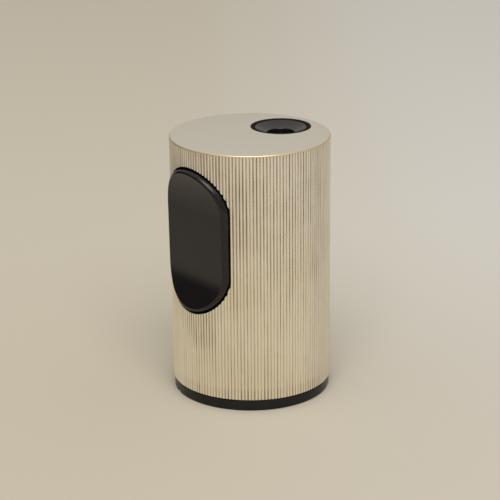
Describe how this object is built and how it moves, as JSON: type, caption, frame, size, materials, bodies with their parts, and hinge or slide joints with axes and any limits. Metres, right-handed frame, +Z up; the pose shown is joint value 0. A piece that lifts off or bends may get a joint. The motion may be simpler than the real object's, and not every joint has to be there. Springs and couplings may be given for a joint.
{
  "type": "cylindrical table lighter",
  "caption": "Upright cylindrical table lighter with a fluted metal sleeve, a tall round-ended thumb button in its side, a round flame outlet in its top and a black base.",
  "frame": {"origin": "centre of the flat underside, on the axis of the sleeve", "axes": "+Z up along the axis of the sleeve, -Y towards the thumb button, +Y towards the flame outlet, +X to the right of someone who faces the button"},
  "size_m": [0.054, 0.0556, 0.089],
  "materials": {
    "silver_plate": "silver plate over brass, satin, tarnished brown in the flutes, worn to brass at the rim",
    "black_plastic": "satin black moulding",
    "gloss_black": "polished black",
    "dark_plastic": "dark grey moulding",
    "tank_plastic": "ivory translucent-looking moulding",
    "brass": "turned brass",
    "steel": "plain steel",
    "rubber": "black seal rubber",
    "ceramic": "glazed white ceramic",
    "red_sheath": "red cable sheath"
  },
  "bodies": {
    "housing": {"outer_shell": "silver_plate", "base_housing": "black_plastic", "bottom_cover": "black_plastic", "cover_screw_1": "steel", "cover_screw_2": "steel", "cover_screw_3": "steel", "tank_screw_1": "steel", "tank_screw_2": "steel", "gas_tank": "tank_plastic", "tank_lid": "tank_plastic", "chassis_frame": "dark_plastic", "frame_screw_1": "steel", "frame_screw_2": "steel", "button_pin": "steel", "button_spring": "steel", "lever_pin": "steel", "burner_ring": "black_plastic", "flame_dish": "gloss_black", "valve_body": "brass", "valve_seal": "rubber", "valve_spring": "steel", "electrode_insulator": "ceramic", "spark_electrode": "steel", "filler_body": "brass", "filler_spring": "steel", "filler_retainer": "brass", "filler_seal": "rubber", "spark_housing": "dark_plastic", "spark_nut": "steel", "spark_spring": "steel", "spark_crystal": "ceramic", "spark_anvil": "brass", "ignition_lead": "red_sheath"},
    "thumb_button": {"thumb_button": "gloss_black"},
    "gas_lever": {"gas_lever": "steel"},
    "burner_stem": {"burner_stem": "brass", "burner_nozzle": "brass"},
    "spark_plunger": {"spark_plunger": "dark_plastic"},
    "spark_hammer": {"spark_hammer": "steel"},
    "flame_adjuster": {"adjuster_dial": "dark_plastic", "adjuster_spindle": "steel"},
    "filler_stem": {"filler_stem": "brass"}
  },
  "joints": [
    {"name": "button_press", "type": "hinge", "parent": "housing", "child": "thumb_button", "pos_m": [0, -0.0155, 0.037], "axis": [-1, 0, 0], "range_deg": [0, 6.5], "stiffness_Nm_per_rad": 1, "springref_deg": -5.73, "deforming": ["button_spring"]},
    {"name": "gas_lever_tilt", "type": "hinge", "parent": "housing", "child": "gas_lever", "pos_m": [0.006, 0.002, 0.072], "axis": [1, 0, 0], "range_deg": [0, 6.95]},
    {"name": "burner_lift", "type": "slide", "parent": "housing", "child": "burner_stem", "axis": [0, 0, 1], "range_m": [0, 0.0015], "deforming": ["valve_spring"]},
    {"name": "spark_plunge", "type": "slide", "parent": "housing", "child": "spark_plunger", "axis": [0, 1, 0], "range_m": [0, 0.0038], "deforming": ["spark_spring"]},
    {"name": "hammer_strike", "type": "slide", "parent": "housing", "child": "spark_hammer", "axis": [0, 1, 0], "range_m": [0, 0.0022], "stiffness_N_per_m": 150, "springref_m": -0.001},
    {"name": "flame_adjust", "type": "hinge", "parent": "housing", "child": "flame_adjuster", "pos_m": [0, 0.014, 0.0015], "axis": [0, 0, 1], "range_deg": [-150, 150]},
    {"name": "filler_push", "type": "slide", "parent": "housing", "child": "filler_stem", "axis": [0, 0, 1], "range_m": [0, 0.001], "stiffness_N_per_m": 250, "springref_m": -0.003, "deforming": ["filler_spring"]}
  ],
  "couplings": [
    {"joint": "gas_lever_tilt", "follows": "button_press", "ratio": 1.06},
    {"joint": "burner_lift", "follows": "button_press", "m_per_rad": 0.0127},
    {"joint": "spark_plunge", "follows": "button_press", "m_per_rad": 0.033}
  ]
}
